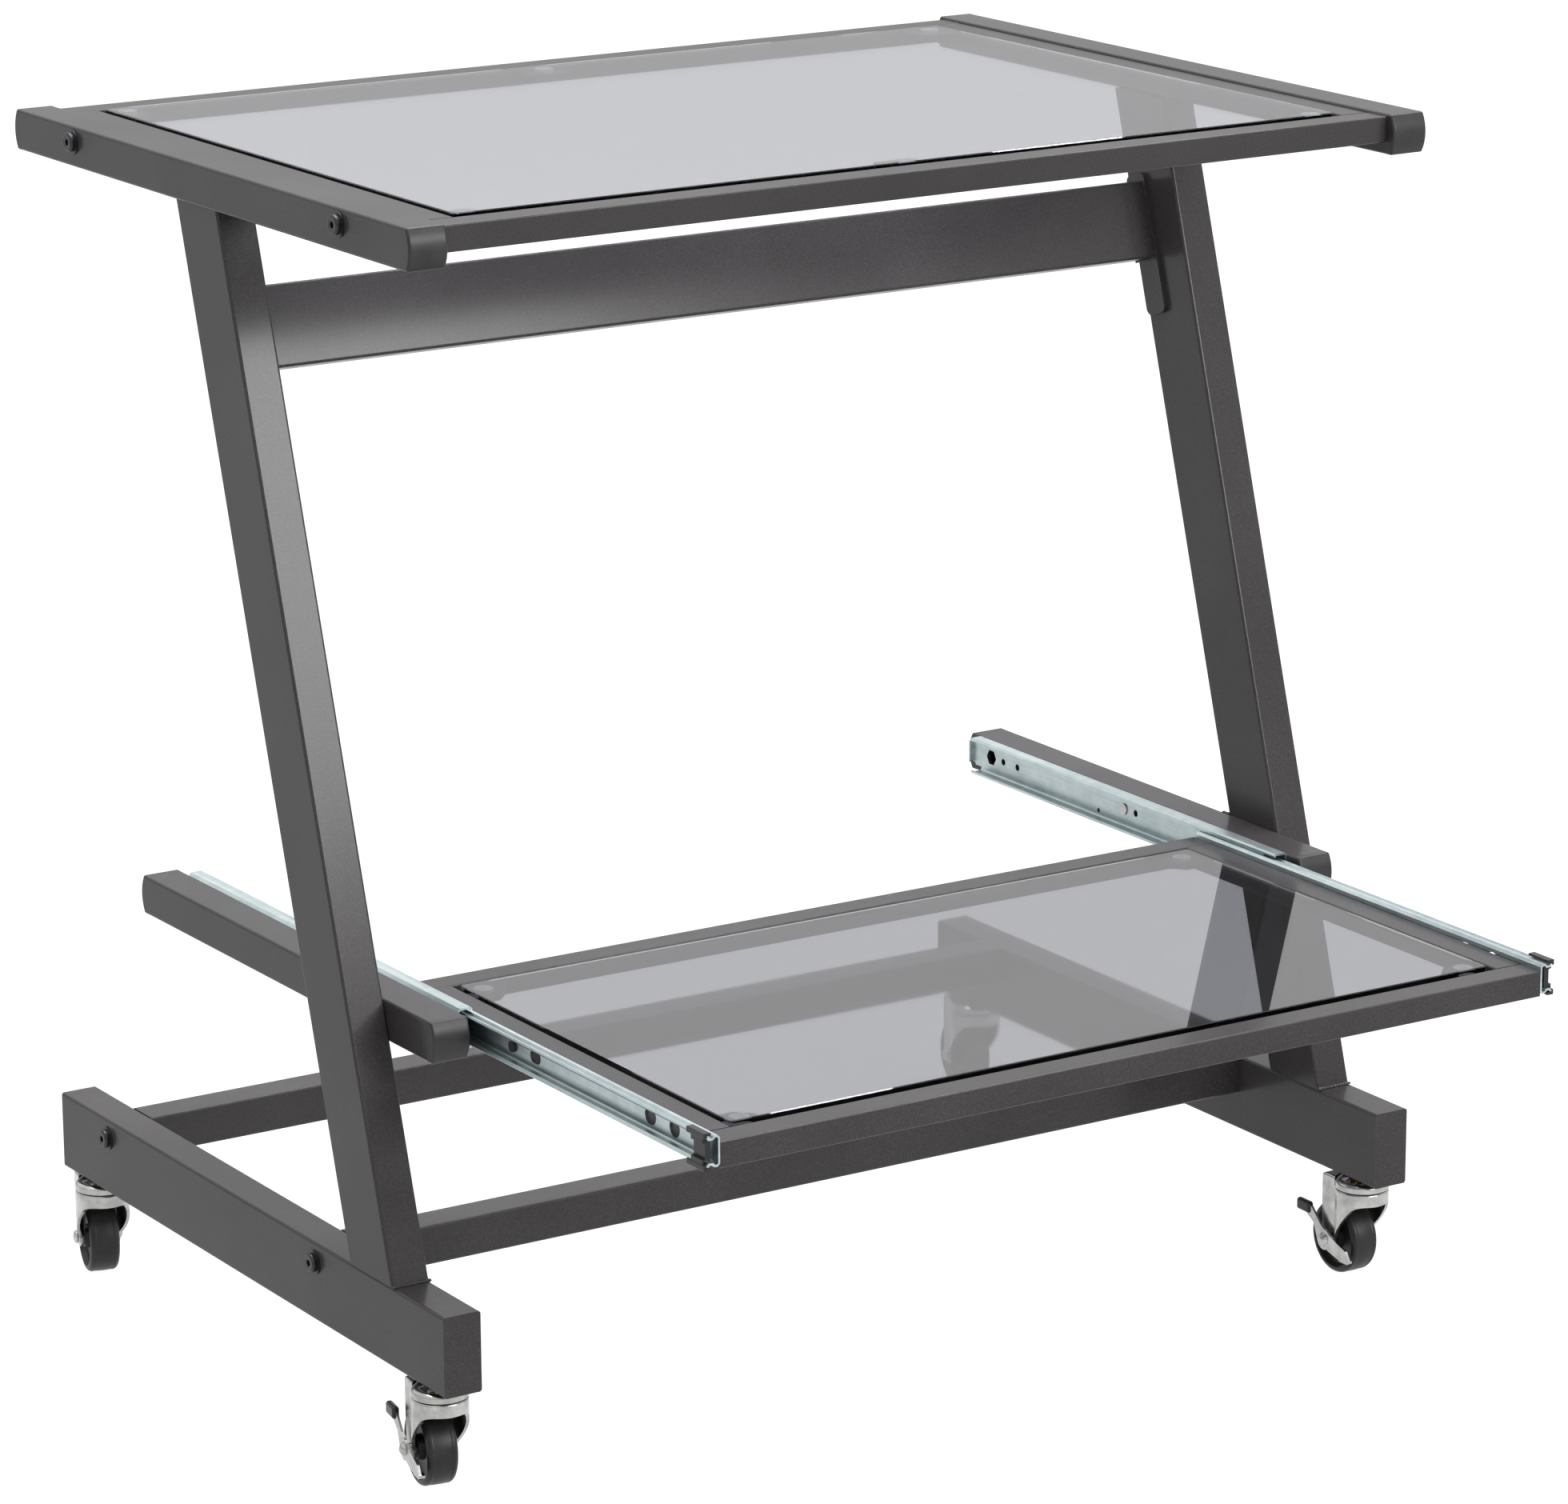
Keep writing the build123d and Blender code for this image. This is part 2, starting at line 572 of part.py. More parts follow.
def end_stop():
    """Plastic stop in the front end of the drawer member, with a lobe above and below the channel."""
    lobe_front = tray_front + 0.5
    inside_w = groove_w - slide_steel / 2 - 0.15
    plate_u = ball_u - 3.1  # clear of the edges of the drawer member
    ear_w = race_outer - 0.3
    core = Pos(plate_u + 2.2, 0) * Rectangle(4.4, 2 * inside_w) - Pos(plate_u, 0) * Rectangle(1.8, 9)
    lobe = Pos(plate_u + 1.1, ear_w - 0.85) * RectangleRounded(5.0, 1.7, 0.7)
    ear = Pos(plate_u - 0.65, ear_w - 1.75) * RectangleRounded(1.5, 3.5, 0.6)
    arm = Pos(plate_u - 0.5, ear_w - 3.2) * Rectangle(1.0, 6.0)
    lobes = [lobe, ear, mirror(lobe, about=Plane.XZ), mirror(ear, about=Plane.XZ)]
    body = [core, arm, mirror(arm, about=Plane.XZ)]
    parts = [(face, lobe_front, lobe_front + stop_length) for face in lobes]
    parts += [(face, lobe_front + 2, lobe_front + stop_length - 4) for face in body]
    stop = None
    for face, y_front, y_back in parts:
        plane = Plane(origin=(slide_face_x, y_back, slide_z), x_dir=(-1, 0, 0), z_dir=(0, -1, 0))
        piece = extrude(plane * face, amount=y_back - y_front)
        stop = piece if stop is None else stop + piece
    return stop


def outer_screw(y):
    """Thin-head screw that holds the cabinet member to the slide rail."""
    seat = slide_face_x - slide_steel
    head = rod_x(3.8, seat - screw_head_height, seat, y, slide_z)
    return head + rod_x(slide_screw_radius, seat, slide_face_x + 6, y, slide_z)


def inner_screw(y):
    """Pan-head screw that holds the drawer member to the tray frame."""
    seat = tray_half + slide_steel
    head = rod_x(3.4, seat, seat + 1.8, y, slide_z)
    return head + rod_x(slide_screw_radius, tray_half - 6, seat, y, slide_z)


for name, side in (("left", -1), ("right", 1)):
    node(f"{name}_outer_slide", *across(side, [outer_slide()]))
    node(f"{name}_ball_cage", *across(side, ball_cage()))
    node(f"{name}_inner_slide", *across(side, [inner_slide()]))
node("tray_end_stops", *[across(s, [end_stop()])[0] for s in (-1, 1)])
node("outer_slide_screws", *[across(s, [outer_screw(y)])[0] for s in (-1, 1) for y in outer_screw_ys])
node("inner_slide_screws", *[across(s, [inner_screw(y)])[0] for s in (-1, 1) for y in inner_screw_ys])

# ---------------------------------------------------------------- casters
# Each caster is drawn about its swivel axis with z = 0 at the underside of the foot rail and the
# wheel behind, then turned and placed.
axle_z = wheel_radius - caster_height
leg_out = wheel_width / 2 + fork_side_gap + fork_steel
race_bottom = -8.3
fork_top = -9.0
race_ball_radius = 1.2
race_ball_count = 10


def stem_and_race():
    """Fixed half of the swivel: threaded stem, hexagon, dished race, balls and the riveted pin end."""
    stem = Pos(0, 0, 0.5) * Cylinder(stem_radius, 23)
    stem += extrude(Plane.XY * RegularPolygon(6.5, 6, major_radius=False), amount=-5)
    stem += Pos(0, 0, fork_top - fork_steel - 1.2) * Cylinder(6.5, 2.2)
    race = make_face([
        Line((stem_radius + 0.1, -6.5), (stem_radius + 0.1, -5.05)),
        Line((stem_radius + 0.1, -5.05), (10.5, -5.05)),
        ThreePointArc((10.5, -5.05), (13.6, -3.1), (16.2, -3.9)),
        ThreePointArc((16.2, -3.9), (swivel_radius - 0.3, -4.6), (swivel_radius, -5.6)),
        Line((swivel_radius, -5.6), (swivel_radius, race_bottom)),
        Line((swivel_radius, race_bottom), (swivel_radius - 1.5, race_bottom)),
        Line((swivel_radius - 1.5, race_bottom), (swivel_radius - 1.7, -6.5)),
        Line((swivel_radius - 1.7, -6.5), (stem_radius + 0.1, -6.5)),
    ])
    race = revolve(Plane.XZ * race, Axis.Z)
    ball_z = fork_top + race_ball_radius + 0.03
    ball_ring = PolarLocations(13.5, race_ball_count)
    balls = [Pos(0, 0, ball_z) * place * Sphere(race_ball_radius) for place in ball_ring]
    return [stem, race] + balls


def fork_side():
    """Side profile of the fork, drawn across Y and Z."""
    front_y, front_z = -swivel_radius - 1, fork_top - skirt_height
    boss_low = axle_z - fork_boss
    return make_face([
        Line((front_y, fork_top), (front_y, front_z)),
        ThreePointArc((front_y, front_z), (-11.5, front_z - 0.8), (-7.5, front_z - 4.0)),
        Line((-7.5, front_z - 4.0), (wheel_trail - fork_boss, axle_z + 1.0)),
        ThreePointArc((wheel_trail - fork_boss, axle_z + 1.0), (wheel_trail + 0.8, boss_low),
                      (wheel_trail + fork_boss, axle_z + 1.0)),
        Line((wheel_trail + fork_boss, axle_z + 1.0), (fork_back, axle_z + 19.5)),
        Line((fork_back, axle_z + 19.5), (fork_back, hood_top)),
        Line((fork_back, hood_top), (0, hood_top)),
        Line((0, hood_top), (0, fork_top)),
        Line((0, fork_top), (front_y, fork_top)),
    ])


def fork():
    """Pressed steel fork: round head, arched front, two legs and a raised square back."""
    back_block = Pos(0, fork_back / 2) * Rectangle(2 * leg_out, fork_back)
    head = Circle(swivel_radius) + back_block
    core = Circle(swivel_radius - fork_steel) + Pos(0, fork_back / 2 + 10) * Rectangle(
        2 * (leg_out - fork_steel), fork_back + 20)
    body = Pos(0, 0, fork_top) * extrude(head, amount=-caster_height)
    body = fillet(body.faces().sort_by(Axis.Z)[-1].edges(), 1.4)
    hood = Pos(0, 0, fork_top - 3) * extrude(back_block, amount=hood_top - fork_top + 3)
    hood = fillet(hood.faces().sort_by(Axis.Z)[-1].edges(), 1.8)
    hood -= Pos(0, 0, fork_top) * extrude(Circle(swivel_radius + 0.5), amount=20)
    side = Plane(origin=(-30, 0, 0), x_dir=(0, 1, 0), z_dir=(1, 0, 0)) * fork_side()
    body = (body + hood) & extrude(side, amount=60)
    body -= Pos(0, 0, fork_top - fork_steel) * extrude(core, amount=-caster_height)
    body -= Pos(0, 0, fork_top) * Cylinder(stem_radius + 0.1, 4 * fork_steel)
    return body - rod_x(axle_radius + axle_clearance, -30, 30, wheel_trail, axle_z)


def axle(braked):
    """Axle pin with a domed head on each end; on a braked caster it also carries the lever."""
    left = leg_out + (lever_gap + lever_steel if braked else 0) + 0.05
    right = leg_out + 0.05
    pin = rod_x(axle_radius, -left, right, wheel_trail, axle_z)
    dome = Pos(0, 0, -2.1) * Sphere(4.9) & Pos(0, 0, 5) * Box(12, 12, 10)
    turn_out = Plane(origin=(right, wheel_trail, axle_z), x_dir=(0, 1, 0), z_dir=(1, 0, 0)).location
    turn_back = Plane(origin=(-left, wheel_trail, axle_z), x_dir=(0, 1, 0), z_dir=(-1, 0, 0)).location
    return pin + turn_out * dome + turn_back * dome


def wheel():
    """Solid wheel with a crowned tread, dished sides and a hub boss."""
    half = wheel_width / 2
    r = wheel_radius
    bore = axle_radius + axle_clearance
    section = make_face([
        Line((bore, -half), (7.0, -half)),
        Line((7.0, -half), (8.0, -half + 4)),
        Line((8.0, -half + 4), (r - 5.5, -half + 4)),
        Line((r - 5.5, -half + 4), (r - 4.0, -half + 0.4)),
        ThreePointArc((r - 4.0, -half + 0.4), (r - 1.0, -half + 1.3), (r - 0.25, -half + 4.5)),
        ThreePointArc((r - 0.25, -half + 4.5), (r, 0), (r - 0.25, half - 4.5)),
        ThreePointArc((r - 0.25, half - 4.5), (r - 1.0, half - 1.3), (r - 4.0, half - 0.4)),
        Line((r - 4.0, half - 0.4), (r - 5.5, half - 4)),
        Line((r - 5.5, half - 4), (8.0, half - 4)),
        Line((8.0, half - 4), (7.0, half)),
        Line((7.0, half), (bore, half)),
        Line((bore, half), (bore, -half)),
    ])
    body = revolve(Plane.XZ * section, Axis.Z)
    return Plane(origin=(0, wheel_trail, axle_z), x_dir=(0, 1, 0), z_dir=(1, 0, 0)).location * body


lever_x = -leg_out - lever_gap - lever_steel
grip_y, grip_z = wheel_trail + 21.5, axle_z + 17.0
pedal_y, pedal_z = wheel_trail - 20.0, axle_z - 5.5


def brake_lever():
    """Stamped lever on the axle: an arm up to the grip, a round seat and a pedal with a turned-in lip."""
    arm = make_face(Polyline([
        (grip_y + 1, grip_z + 2.5), (grip_y - 8, grip_z + 1.5), (wheel_trail + 4.0, axle_z + 9.5),
        (wheel_trail - 6.0, axle_z + 3.5), (wheel_trail - 2.0, axle_z - 6.5), (wheel_trail + 6.0, axle_z - 3.5),
        (wheel_trail + 11.0, axle_z + 8.5), (grip_y + 1, grip_z - 2.0)], close=True))
    pedal = make_face(Polyline([
        (wheel_trail - 3.0, axle_z + 5.5), (wheel_trail - 15.0, axle_z + 1.0), (pedal_y - 3.5, pedal_z + 4.0),
        (pedal_y - 7.5, pedal_z - 2.0), (pedal_y - 5.5, pedal_z - 4.5), (pedal_y + 5.0, pedal_z - 3.5),
        (wheel_trail - 4.0, axle_z - 6.5)], close=True))
    outline = fillet(arm.vertices(), 1.5) + fillet(pedal.vertices(), 1.2)
    outline += Pos(wheel_trail, axle_z) * Circle(7.0)
    plate = along_x(outline, lever_x, lever_x + lever_steel, 0, 0)
    lip = Pos(lever_x + 2.4, pedal_y - 0.5, pedal_z - 3.6) * Box(4.8, 9, 1.6)
    plate += fillet(lip.edges().filter_by(Axis.Z), 0.7)
    return plate - rod_x(axle_radius + axle_clearance, -30, 30, wheel_trail, axle_z)


def lever_grip():
    """Plastic grip moulded over the tip of the lever."""
    grip = Pos(lever_x + lever_steel / 2, grip_y, grip_z) * Box(4.6, 14, 8)
    grip = fillet(grip.edges(), 2.0)
    return grip - brake_lever()


def stem_nut(side, y):
    """Nut welded on the floor of the foot rail, which the caster stem screws into."""
    nut = extrude(Plane.XY * RegularPolygon(6.5, 6, major_radius=False), amount=6.5)
    nut -= Cylinder(stem_radius + thread_clearance, 20)
    return Pos(side * side_x, y, foot_bottom + tube_wall) * nut


stem_nuts = [stem_nut(s, y) for s in (-1, 1) for y in caster_ys.values()]
node("frame_nuts", *cross_nuts, *rivet_nuts, *stem_nuts)
for end in ("front", "rear"):
    for name, side in (("left", -1), ("right", 1)):
        caster = f"{end}_{name}"
        braked = end == "front"
        place = Pos(side * side_x, caster_ys[end], foot_bottom) * Rot(0, 0, caster_turn[caster])
        node(f"{caster}_swivel_race", *[place * s for s in stem_and_race()])
        node(f"{caster}_fork", place * fork())
        node(f"{caster}_axle", place * axle(braked))
        node(f"{caster}_wheel", place * wheel())
        if braked:
            node(f"{caster}_brake_lever", place * brake_lever())
            node(f"{caster}_lever_grip", place * lever_grip())
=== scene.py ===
# %% [markdown]
# # A mobile computer desk, finished in Blender
# The desk's steel, glass, slides and casters come from a CAD model, in metres, with Z up and the
# floor at zero. This lesson gives every part its real finish, adds the small things that a workshop
# leaves on such a desk, such as weld beads, stem nuts and rivet heads, and lights it like a
# catalogue picture.

# %% Load the desk
import math
import random

import bpy
from mathutils import Matrix, Vector


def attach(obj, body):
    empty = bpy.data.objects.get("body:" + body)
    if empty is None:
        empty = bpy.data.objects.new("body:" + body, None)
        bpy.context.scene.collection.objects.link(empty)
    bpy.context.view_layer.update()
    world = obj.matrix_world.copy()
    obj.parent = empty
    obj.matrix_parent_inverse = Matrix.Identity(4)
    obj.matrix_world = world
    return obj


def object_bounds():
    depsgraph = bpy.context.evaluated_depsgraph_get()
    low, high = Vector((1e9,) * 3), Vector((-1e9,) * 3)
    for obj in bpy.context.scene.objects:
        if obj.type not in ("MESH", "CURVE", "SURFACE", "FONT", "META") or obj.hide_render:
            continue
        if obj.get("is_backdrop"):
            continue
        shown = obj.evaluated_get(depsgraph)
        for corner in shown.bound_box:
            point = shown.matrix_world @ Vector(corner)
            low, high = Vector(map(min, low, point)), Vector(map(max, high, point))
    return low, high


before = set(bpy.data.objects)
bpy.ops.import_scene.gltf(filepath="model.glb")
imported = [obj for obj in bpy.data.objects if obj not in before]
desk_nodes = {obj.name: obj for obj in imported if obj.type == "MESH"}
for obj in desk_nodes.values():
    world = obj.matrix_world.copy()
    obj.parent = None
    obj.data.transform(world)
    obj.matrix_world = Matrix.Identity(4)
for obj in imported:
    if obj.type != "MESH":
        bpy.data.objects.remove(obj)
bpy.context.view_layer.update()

MM = 0.001

# %% [markdown]
# ## Helpers for finishes
# A finish in Blender is a small network of nodes that ends in a Principled shader. Colours are
# written as the hex values a painter would read off a chart, so one function turns them into the
# linear numbers that the renderer adds up. Another adds one node with its settings and links.


# %% Colour and node helpers
def paint_hex(code, alpha=1.0):
    """sRGB hex to linear RGBA."""
    parts = [int(code[i : i + 2], 16) / 255 for i in (1, 3, 5)]
    linear = [c / 12.92 if c <= 0.04045 else ((c + 0.055) / 1.055) ** 2.4 for c in parts]
    return (*linear, alpha)


def put(material, kind, settings=None, inputs=None, stops=None):
    """Add a node; inputs are values or the sockets that feed it, stops are (position, hex) colours."""
    made = material.node_tree.nodes.new(kind)
    for name, value in (settings or {}).items():
        setattr(made, name, value)
    for name, value in (inputs or {}).items():
        if isinstance(value, bpy.types.NodeSocket):
            material.node_tree.links.new(value, made.inputs[name])
        else:
            made.inputs[name].default_value = value
    if stops:
        first, *between, last = stops
        made.color_ramp.elements[0].position, made.color_ramp.elements[1].position = first[0], last[0]
        made.color_ramp.elements[0].color = paint_hex(first[1])
        made.color_ramp.elements[1].color = paint_hex(last[1])
        for position, code in between:
            made.color_ramp.elements.new(position).color = paint_hex(code)
    return made


def start_finish(name, **shader_values):
    """A new material: returns it, its Principled shader and its Object coordinates in metres."""
    material = bpy.data.materials.new(name)
    material.use_nodes = True
    shader = material.node_tree.nodes["Principled BSDF"]
    for socket, value in shader_values.items():
        shader.inputs[socket.replace("_", " ")].default_value = value
    place = put(material, "ShaderNodeTexCoord").outputs["Object"]
    return material, shader, place


def link(material, socket, shader, name):
    """Feed a shader's input from a socket."""
    material.node_tree.links.new(socket, shader.inputs[name])


# %% [markdown]
# ## Powder coat
# The tubes are powder coated: dry paint with fine aluminium flake is sprayed on and baked. That
# leaves a satin skin with a faint orange-peel wave and tiny flakes that catch light. Flakes are
# about 0.1 mm across; drawn at 0.7 mm they still show from across a room. Three noises do the work:
# flakes, orange peel and a slow cloudiness.

# %% Powder coat finish
flake_mm = 0.7
peel_mm = 2.2
cloud_mm = 90.0
cloud_share = 0.25  # how much of the tone the slow cloud gives, the flakes giving the rest


def powder_coat(name, dark, mid, light, roughness):
    """Graphite powder coat with metallic flake under a thin glossy topcoat."""
    finish, shader, place = start_finish(
        name, Metallic=0.1, IOR=1.5, Specular_IOR_Level=0.05, Coat_Weight=0.33, Coat_Roughness=0.17)
    flakes = put(finish, "ShaderNodeTexNoise", inputs={
        "Vector": place, "Scale": 1 / (flake_mm * MM), "Detail": 3.0, "Roughness": 0.7}).outputs["Fac"]
    peel = put(finish, "ShaderNodeTexNoise", inputs={
        "Vector": place, "Scale": 1 / (peel_mm * MM), "Detail": 2.0}).outputs["Fac"]
    cloud = put(finish, "ShaderNodeTexNoise", inputs={
        "Vector": place, "Scale": 1 / (cloud_mm * MM), "Detail": 2.0}).outputs["Fac"]
    mixed = put(finish, "ShaderNodeMath", {"operation": "MULTIPLY_ADD"},
                {0: cloud, 1: cloud_share, 2: flakes}).outputs[0]
    tone = put(finish, "ShaderNodeMath", {"operation": "SUBTRACT"}, {0: mixed, 1: cloud_share / 2}).outputs[0]
    shade = put(finish, "ShaderNodeValToRGB", inputs={"Fac": tone},
                stops=[(0.30, dark), (0.52, mid), (0.74, light)])
    link(finish, shade.outputs["Color"], shader, "Base Color")
    satin = put(finish, "ShaderNodeMapRange", inputs={
        "Value": flakes, "To Min": roughness - 0.05, "To Max": roughness + 0.07})
    link(finish, satin.outputs["Result"], shader, "Roughness")
    wave = put(finish, "ShaderNodeBump", inputs={"Strength": 0.16, "Distance": 0.1 * MM, "Height": peel})
    grain = put(finish, "ShaderNodeBump", inputs={
        "Strength": 0.22, "Distance": 0.06 * MM, "Height": flakes, "Normal": wave.outputs["Normal"]})
    link(finish, grain.outputs["Normal"], shader, "Normal")
    return finish


# Nearly black in shade, mid grey where it faces the sky: the eye reads satin metal paint.
graphite_coat = powder_coat("powder_coat_graphite", "#252324", "#302e2f", "#413f40", 0.40)
print("tube finish:", graphite_coat.name)

# %% [markdown]
# ## Glass
# Both panes are tempered float glass with a light smoke tint. Glass that is tinted all through
# reads as a grey sheet with sharp reflections; the ground edge is frosted and looks greener. The
# panes are left out of shadow casting so that the daylight under them stays as soft as it is in a
# real room.

# %% Smoke glass finish
smear_mm = 160.0
bumper_dimple_mm = 1.5


def tinted_glass(name, tint):
    """Clear tinted glass with faint wiping smears."""
    finish, shader, place = start_finish(
        name, Base_Color=paint_hex(tint), Roughness=0.0, IOR=1.5, Transmission_Weight=1.0)
    smear = put(finish, "ShaderNodeTexNoise", inputs={
        "Vector": place, "Scale": 1 / (smear_mm * MM), "Detail": 2.0}).outputs["Fac"]
    haze = put(finish, "ShaderNodeMapRange", inputs={"Value": smear, "To Min": 0.0, "To Max": 0.03})
    link(finish, haze.outputs["Result"], shader, "Roughness")
    return finish


# The lower pane is the same glass. It stands in the desktop's shade, so its tint is painted a step darker as
# painted shade.
desktop_glass = tinted_glass("tempered_smoke_glass", "#bebfc6")
shelf_glass_painted_shade = tinted_glass("tempered_smoke_glass_tray_painted_shade", "#8a8b91")

# A milky disc that shows faintly through the pane.
clear_bumper, bumper_shader, place = start_finish(
    "silicone_bumper", Base_Color=paint_hex("#8d8e92"), Roughness=0.35, IOR=1.42, Transmission_Weight=0.25)
dimple = put(clear_bumper, "ShaderNodeTexNoise", inputs={
    "Vector": place, "Scale": 1 / (bumper_dimple_mm * MM)}).outputs["Fac"]
dent = put(clear_bumper, "ShaderNodeBump", inputs={"Strength": 0.1, "Distance": 0.1 * MM, "Height": dimple})
link(clear_bumper, dent.outputs["Normal"], bumper_shader, "Normal")
print("glass finishes:", desktop_glass.name, shelf_glass_painted_shade.name, clear_bumper.name)

# %% [markdown]
# ## Moulded plastics, rubber and black bolts
# The end caps are injection moulded polypropylene: black, satin, with a fine spark-eroded grain
# about 0.3 mm across. The wheels are hard polyamide with a turned tread that goes grey where it
# has rolled. The bolts are black oxide steel, which is a thin blue-black skin on metal.


# %% Black finishes
wear_mm = 14.0
oxide_mm = 1.2


def moulded(name, dark, light, grain_mm, roughness, bump=0.2):
    """Black plastic or rubber with a fine grain and slow patches of wear."""
    finish, shader, place = start_finish(name, IOR=1.49, Specular_IOR_Level=0.3)
    grain = put(finish, "ShaderNodeTexNoise", inputs={
        "Vector": place, "Scale": 1 / (grain_mm * MM), "Detail": 3.0}).outputs["Fac"]
    wear = put(finish, "ShaderNodeTexNoise", inputs={
        "Vector": place, "Scale": 1 / (wear_mm * MM), "Detail": 4.0, "Roughness": 0.6}).outputs["Fac"]
    shade = put(finish, "ShaderNodeValToRGB", inputs={"Fac": wear}, stops=[(0.35, dark), (0.7, light)])
    link(finish, shade.outputs["Color"], shader, "Base Color")
    satin = put(finish, "ShaderNodeMapRange", inputs={
        "Value": wear, "To Min": roughness - 0.06, "To Max": roughness + 0.08})
    link(finish, satin.outputs["Result"], shader, "Roughness")
    skin = put(finish, "ShaderNodeBump", inputs={"Strength": bump, "Distance": 0.05 * MM, "Height": grain})
    link(finish, skin.outputs["Normal"], shader, "Normal")
    return finish


cap_plastic = moulded("moulded_black_polypropylene", "#1f1f1f", "#2a2929", 0.5, 0.38)
stop_plastic = moulded("moulded_black_acetal", "#161617", "#202021", 0.5, 0.32)
wheel_rubber = moulded("hard_rolled_tread", "#0e0e0f", "#1d1d1e", 0.8, 0.42, 0.35)
grip_plastic = moulded("dipped_pvc_grip", "#131314", "#1c1c1d", 0.7, 0.25)

black_oxide, oxide_shader, place = start_finish("black_oxide_steel", Metallic=0.85, Roughness=0.38)
oxide = put(black_oxide, "ShaderNodeTexNoise", inputs={
    "Vector": place, "Scale": 1 / (oxide_mm * MM), "Detail": 3.0}).outputs["Fac"]
oxide_shade = put(black_oxide, "ShaderNodeValToRGB", inputs={"Fac": oxide},
                  stops=[(0.3, "#2b2b2d"), (0.7, "#434346")])
link(black_oxide, oxide_shade.outputs["Color"], oxide_shader, "Base Color")
print("black finishes:", cap_plastic.name, stop_plastic.name, wheel_rubber.name, grip_plastic.name)

# %% [markdown]
# ## Zinc, steel and brass
# The slides are rolled from strip that is zinc plated and passivated blue, so they shine with a
# pale teal cast and show streaks along their length. The casters are pressed steel with bright
# zinc. The nut on each caster stem is yellow zinc, which looks like brass.


# %% Metal finishes
spangle_mm = 9.0
spangle_share = 0.5


def plated(name, dark, mid, light, roughness, streak_mm, stretch):
    """Zinc plate; the pattern is stretched along Y, the way the strip was rolled."""
    finish, shader, place = start_finish(name, Metallic=1.0)
    squeeze = put(finish, "ShaderNodeMapping", inputs={"Vector": place, "Scale": (1.0, 1.0 / stretch, 1.0)})
    streak = put(finish, "ShaderNodeTexNoise", inputs={
        "Vector": squeeze.outputs["Vector"], "Scale": 1 / (streak_mm * MM),
        "Detail": 4.0, "Roughness": 0.6}).outputs["Fac"]
    spangle = put(finish, "ShaderNodeTexNoise", inputs={
        "Vector": place, "Scale": 1 / (spangle_mm * MM), "Detail": 2.0}).outputs["Fac"]
    mixed = put(finish, "ShaderNodeMath", {"operation": "MULTIPLY_ADD"},
                {0: spangle, 1: spangle_share, 2: streak}).outputs[0]
    tone = put(finish, "ShaderNodeMath", {"operation": "SUBTRACT"},
               {0: mixed, 1: spangle_share / 2}).outputs[0]
    shade = put(finish, "ShaderNodeValToRGB", inputs={"Fac": tone},
                stops=[(0.32, dark), (0.5, mid), (0.68, light)])
    link(finish, shade.outputs["Color"], shader, "Base Color")
    shine = put(finish, "ShaderNodeMapRange", inputs={
        "Value": streak, "To Min": roughness - 0.07, "To Max": roughness + 0.1})
    link(finish, shine.outputs["Result"], shader, "Roughness")
    skin = put(finish, "ShaderNodeBump", inputs={"Strength": 0.05, "Distance": 0.03 * MM, "Height": streak})
    link(finish, skin.outputs["Normal"], shader, "Normal")
    return finish


slide_zinc = plated("blue_passivated_zinc", "#9facae", "#abb6b8", "#b8c1c3", 0.36, 5.0, 30.0)
caster_zinc = plated("bright_zinc_pressing", "#979796", "#a6a6a5", "#b6b6b4", 0.2, 12.0, 1.0)
stem_zinc = plated("yellow_zinc_nut", "#8d6a22", "#a88030", "#c9a04a", 0.26, 6.0, 1.0)
print("metal finishes:", slide_zinc.name, caster_zinc.name, stem_zinc.name)

# %% [markdown]
# ## Dress the CAD parts
# Each CAD part keeps its shape and gets its finish here, by name. Glass is also told to let light
# through.

# %% Give each part its finish
finish_of = {}
for name in desk_nodes:
    finish_of[name] = graphite_coat
for name, glass in (("top_glass", desktop_glass), ("tray_glass", shelf_glass_painted_shade)):
    finish_of[name] = glass
    desk_nodes[name].visible_shadow = False
for name in ("top_glass_pads", "tray_glass_pads"):
    finish_of[name] = clear_bumper
finish_of["rail_end_caps"] = cap_plastic
finish_of["tray_end_stops"] = stop_plastic
finish_of["frame_bolts"] = black_oxide
finish_of["inner_slide_screws"] = black_oxide
for name in ("frame_nuts", "outer_slide_screws"):
    finish_of[name] = caster_zinc
for side in ("left", "right"):
    for piece in ("outer_slide", "inner_slide", "ball_cage"):
        finish_of[f"{side}_{piece}"] = slide_zinc
corners = [f"{end}_{side}" for end in ("front", "rear") for side in ("left", "right")]
for corner in corners:
    for piece in ("swivel_race", "fork", "axle"):
        finish_of[f"{corner}_{piece}"] = caster_zinc
    finish_of[f"{corner}_wheel"] = wheel_rubber
for corner in corners[:2]:
    finish_of[f"{corner}_brake_lever"] = caster_zinc
    finish_of[f"{corner}_lever_grip"] = grip_plastic
for name, finish in finish_of.items():
    slots = desk_nodes[name].data.materials
    slots.clear()
    slots.append(finish)
print("parts with a finish:", len(finish_of))

# %% [markdown]
# ## Weld beads
# The CAD tubes only touch. A welder leaves a row of frozen puddles where they meet, each about
# 2 mm across and overlapping the last. One puddle is modelled, a squashed ball with its underside
# cut away, and copies of it with small seeded changes of size and angle are strung along each seam
# and joined. A tube swept along the seam would be quicker but looks like a hose.

